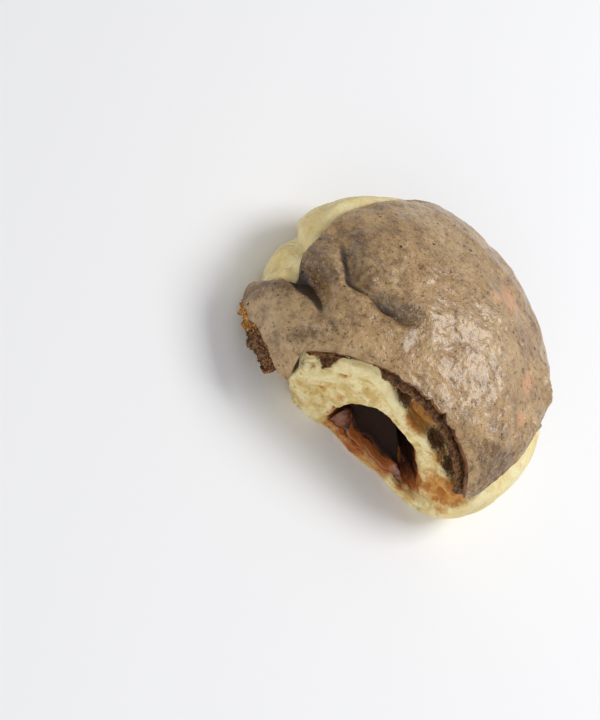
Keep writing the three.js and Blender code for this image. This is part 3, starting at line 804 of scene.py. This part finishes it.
breadFace = {
    # the crumb's rolled upper edge, from x, z to x, z; above it the face is sunk and coloured dark: a brown
    # crust with painted shade under the topping's rim
    "roll": [(-36, 20), (-30, 20.2), (-28, 20.4), (-26.4, 20.8), (-25.2, 20.6), (-24, 19.8),
             (-22.8, 19), (-21.6, 18.4), (-20.8, 18.9), (-21, 20.8), (-21.4, 22.8), (-21.9, 25.2),
             (-21.6, 27), (-20.2, 28.4), (-18.4, 29.6), (-15.4, 30.8), (-12.8, 31.3), (-9.3, 30.2),
             (-5.9, 28.9), (-2.1, 27.9), (0.1, 27.7), (1.5, 27), (2.7, 26.6), (7.8, 25.2), (13.4, 24.3),
             (16, 23.6), (18.5, 22.1), (22, 20.4), (26, 19.4), (30, 18.4), (34, 17.2)],
    "sunk": 4.2,
    # folds and lobes of the torn face, each a line of places (x, z, height, width)
    "lines": [
        [(-26.5, 16, 0.5, 2.6), (-23, 15, 0.5, 2.6)],
        [(-17.5, 24, 0.7, 3), (-14.5, 25.4, 0.6, 3)],
        [(-22, 8, 1.1, 3.5), (-15, 5.2, 1, 3), (-10, 4.5, 0.6, 2.4)],
        [(-22, 9.4, -0.9, 0.9), (-18.3, 10.7, -1.3, 1), (-15.1, 12.4, -1.2, 0.9), (-11.5, 14.5, -0.7, 0.8)],
        [(-18.3, 10.7, -0.4, 0.8), (-13.9, 9.2, -0.9, 0.8), (-9.5, 8.8, -0.6, 0.8)],
        [(-24.8, 18.3, -1.6, 0.4), (-23.7, 16.9, -2, 0.5), (-22.9, 15.5, -1.2, 0.4)],
        [(-18.3, 20.2, -1.2, 0.5), (-17.2, 21.1, -2.3, 0.6), (-15.9, 22.4, -1.4, 0.5)],
        [(-20.4, 18.6, -1.6, 0.9), (-18.4, 19.6, -1, 0.7), (-16, 18, -0.6, 0.8), (-13.4, 16.8, -0.4, 0.8)],
        [(-17, 21.5, -0.8, 2.4), (-12.5, 22.4, -1.5, 2.6), (-8, 23.2, -1.4, 2.4), (-3.5, 23.2, -0.8, 1.8)],
        [(14.4, 23.9, 1.3, 1.1), (18.5, 21.6, 1.4, 1.1), (20.6, 19.6, 0.7, 0.9)],
        [(17, 19.6, -0.8, 0.8), (19.8, 17.2, -1.3, 0.9), (21.6, 14.4, -0.8, 0.8)],
        [(22.8, 17.6, 1.2, 1.6), (27.5, 16.6, 0.9, 1.6)],
        [(24.6, 12.4, 1.3, 1.5), (25.4, 10.8, 1, 1.4)],
        [(22.4, 15.2, -0.9, 0.7), (27.3, 13.9, -1.3, 0.8), (28.2, 9.6, -0.9, 0.8)],
        [(30.2, 12.5, 0.8, 1.6), (30.6, 9.5, 0.6, 1.4)],
        [(28.6, 18.4, -0.9, 0.7), (31.6, 15.4, -0.9, 0.7)],
        [(22.6, 6.2, 0.7, 1.4), (26.5, 5, 0.7, 1.6)],
        [(24.6, 8.2, -0.9, 0.6), (26.6, 8, -0.6, 0.6)],
    ],
    # baked golden places on the face: x, z, width, height, strength
    "golden": [
        (6.2, 27.6, 4.6, 2.8, 1.9),
        (16.6, 22.6, 3.4, 1.3, 0.8),
        (25.5, 14, 6, 6, 0.95),
        (21, 8, 4, 3, 0.6),
        (16, 14, 3, 4, 0.3),
        (24.5, 18, 3, 1.5, 0.8),
        (29.6, 16.4, 2.4, 2, 1),
        (28, 12, 1.2, 3.2, 0.6),
        (31.5, 9, 1.8, 2.6, 0.45),
        (-17, 21.2, 1.3, 0.8, 0.9),
        (-23.8, 16.9, 0.7, 1.3, 0.6),
        (-17.5, 11.6, 4, 0.9, 0.55),
        (-11.6, 13.4, 2.6, 1.6, 0.5),
        (-27, 14, 1.4, 5, 0.3),
    ],
    # chocolate wiped over the face, at the hollow's left and right ends
    "spill": [(-4.5, 8, 4.6, 5.5, 1)],
    "stained": [(20.5, 5.5, 2.6, 3.4, 1)],
}


def breadMaterial():
    material, place = startMaterial("wheatBread")
    broad = noiseOf(place, 12.0, 2.0)
    patch = noiseOf(place, 3.6, 4.0, 0.6)
    crumb = noiseOf(place, 1.1, 5.0, 0.62, 0.4)
    fine = noiseOf(place, 0.35, 3.0, 0.6)
    pores = poresOf(place, 1.5)
    names = ("torn", "cocoaAndShade", "golden", "rimBandAndShade", "crust")
    torn, cocoaAndShade, golden, rimBandAndShade, crust = (channelOf(material, name) for name in names)
    skin = twoTones(broad, 0.3, 0.7, (246, 222, 156), (253, 239, 190))
    skin = tint(skin, patch, 0.45, 0.7, 0.5, (220, 188, 120))
    inner = twoTones(patch, 0.36, 0.62, (222, 192, 122), (254, 239, 186))
    inner = tint(inner, crumb, 0.48, 0.3, 0.5, (196, 158, 90))
    inner = tint(inner, pores, 0.24, 0.1, 0.3, (170, 130, 70))
    # painted light: the crumb's roll is painted paler, as where light falls on its top
    inner = blendColour(channelOf(material, "rolled"), inner, linear(252, 238, 186))
    colour = blendColour(torn, skin, inner)
    goldenShare = remap(unsettle(golden, crumb, 0.22), 0.2, 0.85)
    goldenColour = twoTones(patch, 0.35, 0.65, (190, 122, 54), (226, 172, 94))
    colour = blendColour(goldenShare, colour, goldenColour)
    crustShare = combine("MULTIPLY", crust, remap(patch, 0.2, 0.45, 0.7, 1.0))
    crustGold = twoTones(crumb, 0.36, 0.62, (122, 74, 36), (206, 146, 74))
    crustBrown = twoTones(crumb, 0.36, 0.62, (58, 38, 24), (136, 98, 62))
    crustBrown = tint(crustBrown, fine, 0.6, 0.72, 0.6, (196, 146, 82))
    crustColour = blendColour(channelOf(material, "toasted"), crustGold, crustBrown)
    colour = blendColour(crustShare, colour, crustColour)
    # the band under the topping's rim: brown crust with painted shade
    rimBandAndShadeShare = remap(unsettle(rimBandAndShade, crumb, 0.35), 0.3, 0.7)
    rimBandAndShadeColour = twoTones(crumb, 0.38, 0.62, (62, 36, 20), (140, 98, 58))
    rimBandAndShadeColour = tint(rimBandAndShadeColour, fine, 0.6, 0.72, 0.7, (196, 160, 98))
    colour = blendColour(rimBandAndShadeShare, colour, rimBandAndShadeColour)
    # chocolate stains, and painted shade in the hollow and in the gap by the flap, darken the colour in
    # three steps
    stainAndShade = unsettle(cocoaAndShade, patch, 0.16)
    colour = tint(colour, stainAndShade, 0.12, 0.42, 1.0, (186, 110, 56))
    colour = tint(colour, stainAndShade, 0.46, 0.7, 1.0, (104, 56, 34))
    colour = tint(colour, stainAndShade, 0.66, 0.95, 1.0, (36, 20, 13))
    roughness = remap(stainAndShade, 0.2, 0.8, 0.72, 0.3)
    bumps = [(fine, 0.12, 0.6), (crumb, 0.45, 0.8), (remap(pores, 0.1, 0.4), 0.22, 0.6)]
    constants = {"Specular IOR Level": 0.35, "Subsurface Weight": 0.25, "Subsurface Scale": 0.0012}
    constants["Subsurface Radius"] = (1.0, 0.55, 0.25)
    return finishMaterial(material, colour, roughness, bumps, constants)


def makeBread():
    azimuth = spreadAzimuths(breadForm["columns"], *breadForm["denser"])
    control = breadControlRows(azimuth)
    at = np.concatenate([
        np.linspace(0.0, 10.6, breadForm["hiddenRows"]),
        np.linspace(10.8, 26.9, breadForm["sideRows"]),
        np.linspace(27.0, 28.0, breadForm["baseRows"]),
    ])
    rows = throughRows(control, at, breadForm["tension"])
    grid = rows[..., :3]
    torn, inside, crust = (np.clip(rows[..., 3 + index], 0, 1) for index in range(3))
    grid[..., 2] = np.maximum(grid[..., 2], 0.0)
    row = at[:, None] + 0.0 * azimuth
    x, z = grid[..., 0], grid[..., 2]
    # how far a place lies above the crumb's rolled upper edge, in millimetres
    wander = 0.35 * cloud(grid, 2.6, 130) + 0.2 * cloud(grid, 1.1, 131)
    above = sideOfLine(x, z, breadFace["roll"]) + wander
    rimmed = np.maximum(torn, smoothStep(-21, -23, grid[..., 1]) * (row < 12.5))
    onFace = stretch(-31, 31, 2, 2.5, x) * rimmed * (1 - inside) * (1 - crust)
    band = smoothStep(-0.4, 0.8, above) * onFace
    # painted shade: the band above the roll, under the topping's rim, is painted dark over its brown crust
    rimBandAndShade = smoothStep(-0.6, -0.1, above) * onFace
    golden = spotShare(x, z, breadFace["golden"]) * torn * (1 - inside)
    rimBandAndShade = rimBandAndShade * (1 - golden * smoothStep(5.5, 4.0, above))
    lip = stretch(23.6, 26.3, 0.8, 0.5, row) * stretch(-7.5, 15.0, 1.2, 3.0, x) * torn
    spill = spotShare(x, z, breadFace["spill"]) * stretch(-9.8, 3, 1.2, 4, x) * torn
    stained = spotShare(x, z, breadFace["stained"]) * torn * 0.9
    # the cocoa share: chocolate stains, and painted shade on the hollow's walls
    cocoaAndShade = np.maximum.reduce([inside * 1.6 * (1 - lip), 0.4 * lip, 0.85 * spill, stained])
    cocoaAndShade = np.clip(cocoaAndShade, 0, 1) * (1 - crust)
    # torn dough: folds, then lumps drawn out along the tear, then pores in the crumb
    drawn = grid * np.array([0.55, 1.0, 1.3])
    warp = drift(grid, 3.4, 60)
    # the roll is a tube of that radius just under the edge
    tube = mix(2.7, 1.5, smoothStep(-14, 10, x))
    rolled = np.sqrt(np.clip(1 - (above / tube + 1) ** 2, 0, 1)) * (1 - smoothStep(13, 16, x)) * torn
    tear = 0.36 * clouds(drawn + 0.8 * warp, 3.4, 63, 3)
    tear = tear + 0.2 * (1 - np.abs(clouds(drawn + warp, 2.4, 70, 2)) * 2)
    pores = smoothStep(0.42, 0.12, poreDistance(grid + 0.3 * warp, 1.9, 81))
    pores = pores * smoothStep(-0.5, 0.3, cloud(grid, 6.0, 90))
    swollen = mix(0.4, 0.85, smoothStep(-14, -3, x)) * tube * rolled
    tear = (tear - 0.35 * pores) * (1 - 0.8 * rolled) + swollen
    chunky = 0.75 * clouds(grid + 0.6 * warp, 1.7, 100, 3)
    smooth = 0.22 * clouds(grid, 8.0, 110, 2) + 0.05 * clouds(grid, 1.8, 112, 2)
    smooth = smooth + lineRelief(grid[..., 1], z, breadForm["sideLines"]) * smoothStep(-38, -40, x)
    folds = lineRelief(x, z, breadFace["lines"]) * (1 - inside) * (1 - band)
    relief = torn * (tear + folds) + (1 - torn) * smooth
    sunk = breadFace["sunk"] * band * mix(0.4, 1, smoothStep(-22, -17, x))
    relief = mix(relief, chunky, np.clip(rimBandAndShade + crust, 0, 1)) - sunk
    start, full, fading, end = breadForm["reliefRows"]
    relief = relief * smoothStep(start, full, row) * smoothStep(end, fading, row)
    grid = grid + gridNormals(grid) * relief[..., None]
    grid[..., 2] = np.maximum(grid[..., 2], 0.0)
    toasted = smoothStep(*breadForm["toasted"], x)
    # painted shadow: the gap between the flap and the crumb is painted dark through the cocoa share
    gapEnd = 0.6 * np.clip(18.0 - z, 0, 8) - 45.4
    gapShadow = smoothStep(-51.2, -50.6, azimuth) * (1 - smoothStep(0, 0.6, azimuth - gapEnd))
    gapShadow = gapShadow * smoothStep(6, 10, z) * smoothStep(6.5, 7.5, row)
    cocoaAndShade = np.maximum(cocoaAndShade, gapShadow)
    channels = {"torn": torn, "cocoaAndShade": cocoaAndShade, "golden": golden, "rimBandAndShade": rimBandAndShade, "crust": crust}
    # the rolled share also paints the roll paler, as painted light on its top
    channels.update({"rolled": 0.6 * rolled, "toasted": toasted})
    top = domeTop - toppingForm["thickness"]
    return wrapPiece("breadCrumb", grid, channels, (0, 0, top), (0, 0, 0), breadMaterial())


# Small crumbs on the crust along the flap's lower edge.
crumbForm = {"count": 360, "smallest": 0.2, "largest": 0.55, "seed": 12}


def crumbMaterial():
    material, place = startMaterial("toastedCrumbs")
    grain = noiseOf(place, 0.7, 3.0, 0.6)
    tone = unsettle(channelOf(material, "tone"), grain, 0.2)
    colour = twoTones(tone, 0.1, 0.55, (78, 48, 28), (168, 112, 56))
    colour = tint(colour, tone, 0.55, 1.0, 1.0, (228, 180, 104))
    roughness = remap(grain, 0.3, 0.7, 0.45, 0.7)
    bumps = [(grain, 0.2, 0.8)]
    return finishMaterial(material, colour, roughness, bumps, {"Specular IOR Level": 0.4})


def makeCrumbs():
    random = np.random.default_rng(crumbForm["seed"])
    count = crumbForm["count"]
    across = random.random(count) ** 0.9
    azimuth = mix(flapForm["start"] + 1.2, breadForm["crustEnd"][0], across)
    # they sit on the crust between the topping's edge and the flap's own edge
    bared = random.random(count)
    out = random.uniform(-0.2, 0.25, count) - crustDepth * mix(0.45, 0.35, bared)
    place = toppingPlace(azimuth, np.ones(count), out, 1.0, bared)
    centres = toPoints(place, azimuth)
    sizes = mix(crumbForm["smallest"], crumbForm["largest"], random.random(count) ** 2.2)
    ball = bmesh.new()
    bmesh.ops.create_icosphere(ball, subdivisions=1, radius=1.0)
    corners = np.array([list(vertex.co) for vertex in ball.verts])
    triangles = np.array([[vertex.index for vertex in face.verts] for face in ball.faces])
    ball.free()
    # each crumb is a ball pressed to its own three widths and made lumpy
    widths = random.uniform(0.5, 1.4, (count, 1, 3)) * sizes[:, None, None]
    shapes = corners[None, :, :] * widths
    lumps = 1.0 + 0.6 * cloud(centres[:, None, :] + shapes, 0.6, 140)
    points = centres[:, None, :] + shapes * lumps[..., None]
    faces = triangles[None, :, :] + (np.arange(count) * len(corners))[:, None, None]
    gold = smoothStep(*breadForm["toasted"][::-1], centres[:, 0])
    tone = np.clip(mix(0.25, 0.8, gold) + random.uniform(-0.35, 0.35, count), 0, 1)
    channels = {"tone": np.repeat(tone, len(corners))}
    points = points.reshape(-1, 3)
    points[:, 2] = np.maximum(points[:, 2], 0.2)
    return buildMesh("toastedCrumbs", points, faces.reshape(-1, 3).tolist(), channels, crumbMaterial())


# The chocolate filling.
fillingForm = {
    "start": -14.5,
    "end": 38.0,
    # lumps at the front: height, x and width, share of the way in and width
    "lumps": [(9.0, -7.6, 4.4, 0.1, 0.3), (3.0, 19.5, 3.2, 0.06, 0.2)],
    "backHeight": 6.5,
    "columns": 260,
    "rows": 130,
}


def fillingMaterial():
    material, place = startMaterial("darkChocolate")
    patch = noiseOf(place, 3.0, 4.0, 0.6, 0.6)
    fine = noiseOf(place, 0.8, 4.0, 0.6)
    colour = twoTones(patch, 0.35, 0.65, (60, 32, 20), (142, 88, 60))
    thinShare = unsettle(channelOf(material, "thin"), patch, 0.2)
    colour = tint(colour, thinShare, 0.2, 0.8, 1.0, (168, 98, 50))
    # painted shade: the filling is painted darker and duller deep in the hollow
    colour = blendColour(channelOf(material, "deep"), colour, linear(50, 27, 16))
    roughness = combine("ADD", remap(patch, 0.3, 0.7, 0.14, 0.34), channelOf(material, "deep"))
    bumps = [(fine, 0.25, 0.6), (patch, 0.8, 0.6)]
    return finishMaterial(material, colour, roughness, bumps, {"Specular IOR Level": 0.7})


def fillingHeight(azimuth, inward):
    # a thin layer with bells for lumps, rising at the back and kept below the hollow's roof
    x = alongFace(azimuth)
    height = 1.0
    for tall, a, wide, b, deep in fillingForm["lumps"]:
        height = height + tall * bump(a, wide, x) * bump(b, deep, inward)
    height = height + fillingForm["backHeight"] * smoothStep(0.35, 0.95, inward)
    room = (mouthHeight(azimuth) - hollowForm["floor"]) * mix(0.8, 0.6, inward) - 1
    return np.maximum(0.7, np.minimum(height, room))


def makeFilling():
    # a slab on the hollow's floor: an upper sheet of lumps over a flat lower one, with the same outline
    across = np.linspace(0, 1, fillingForm["columns"])[:, None]
    inward = np.linspace(0, 1, fillingForm["rows"])[None, :]
    azimuth = mix(fillingForm["start"], fillingForm["end"], across) + 0.0 * inward
    face = biteForm["bottomDepth"] / np.cos(np.radians(azimuth))
    ragged = 0.4 * np.sin(azimuth * 0.33) + 0.25 * np.sin(azimuth * 0.71 + 1)
    radius = mix(face - 1.0 + ragged, face - hollowDepth(azimuth) * 0.9, inward)
    # the slab is lower towards its two ends, and rises in a quarter round at its front
    front = np.sqrt(1 - (1 - np.clip(inward / 0.2, 0, 1)) ** 2)
    rounded = np.sin(np.pi * np.clip(0.06 + 0.88 * across, 0, 1)) ** 0.5 * front
    height = 0.4 + (fillingHeight(azimuth, inward) - 0.4) * rounded
    lower = toPoints([radius, hollowForm["floor"], 0.0], azimuth)
    upper = toPoints([radius, hollowForm["floor"] + height, 0.0], azimuth)
    warp = drift(upper, 2.6, 120)
    lumps = 0.8 * clouds(upper + 0.8 * warp, 3.4, 123, 2) + 0.3 * np.abs(cloud(upper + warp, 1.8, 127))
    room = smoothStep(0.4, 2.2, height) * rounded * smoothStep(0.5, 0.25, inward)
    room = room * mix(1.0, 0.5, smoothStep(-2, 2, upper[..., 0]))
    upper[..., 2] = np.maximum(upper[..., 2] + lumps * room, hollowForm["floor"] + 0.25)
    x = upper[..., 0]
    thin = smoothStep(4.2, 2.0, height) * stretch(0.0, 15.0, 2.0, 2.5, x) * smoothStep(0.2, 0.12, inward)
    # painted shade: the share of the filling painted darker, deep in the hollow
    deep = smoothStep(0.16, 0.3, inward) * smoothStep(-5.0, -1.0, x)
    columns, rows = height.shape
    cells = np.arange((columns - 1) * (rows - 1))
    corner = cells // (rows - 1) * rows + cells % (rows - 1)
    quad = np.stack([corner, corner + rows, corner + rows + 1, corner + 1], axis=-1)
    count = columns * rows
    ring = np.concatenate([
        np.arange(columns - 1) * rows,
        (columns - 1) * rows + np.arange(rows - 1),
        np.arange(columns - 1, 0, -1) * rows + rows - 1,
        np.arange(rows - 1, 0, -1),
    ])
    after = np.roll(ring, -1)
    rim = np.stack([ring, after, after + count, ring + count], axis=-1)
    faces = (quad + count).tolist() + quad[:, ::-1].tolist() + rim.tolist()
    points = np.concatenate([lower.reshape(-1, 3), upper.reshape(-1, 3)])
    channels = {"thin": np.tile(thin.ravel(), 2), "deep": np.tile(deep.ravel(), 2)}
    return buildMesh("chocolateFilling", points, faces, channels, fillingMaterial())


# The floor and the light.
studio = {
    "floorSize": 12000.0,
    "worldStrength": 0.42,
    # each lamp: direction from the bun, distance and width in metres, and energy
    "lamps": {
        "keyLight": ((0.42, 0.36, 0.83), 0.9, 0.42, 4.9),
        "fillLight": ((-0.1, -0.85, 0.5), 1.0, 0.6, 2.35),
    },
}


def floorMaterial():
    material, place = startMaterial("paleFloor")
    veil = noiseOf(place, 900.0, 1.0)
    colour = blendColour(veil, linear(245, 245, 246), linear(248, 248, 249))
    bumps = [(veil, 0.01, 0.1)]
    return finishMaterial(material, colour, 0.6, bumps, {"Specular IOR Level": 0.2})


def addStage():
    half = studio["floorSize"] / 2.0
    corners = np.array([(-half, -half, 0), (half, -half, 0), (half, half, 0), (-half, half, 0)])
    floor = buildMesh("floor", corners, [[0, 1, 2, 3]], {}, floorMaterial())
    for name, (direction, distance, size, energy) in studio["lamps"].items():
        towards = Vector(direction).normalized()
        data = bpy.data.lights.new(name, "AREA")
        data.energy = energy
        data.size = size
        light = bpy.data.objects.new(name, data)
        light.location = towards * distance
        light.rotation_euler = towards.to_track_quat("Z", "Y").to_euler()
        bpy.context.scene.collection.objects.link(light)
    world = bpy.data.worlds.new("paleRoom")
    world.use_nodes = True
    background = world.node_tree.nodes["Background"]
    background.inputs["Color"].default_value = linear(246, 247, 250)
    background.inputs["Strength"].default_value = studio["worldStrength"]
    bpy.context.scene.world = world
    bpy.context.scene.view_settings.view_transform = "Standard"


addCamera()
addStage()
print("camera and stage placed")
pieces = [
    (makeTopping, "coffee_topping", "topping"),
    (makeBread, "bun_bread", "bread"),
    (makeFilling, "chocolate_filling", "filling"),
    (makeCrumbs, None, "bread"),
]
for make, node, slot in pieces:
    piece = make()
    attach(piece, "root")
    if node:
        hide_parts(node)
    print(piece.name, "made,", len(piece.data.polygons), "faces")
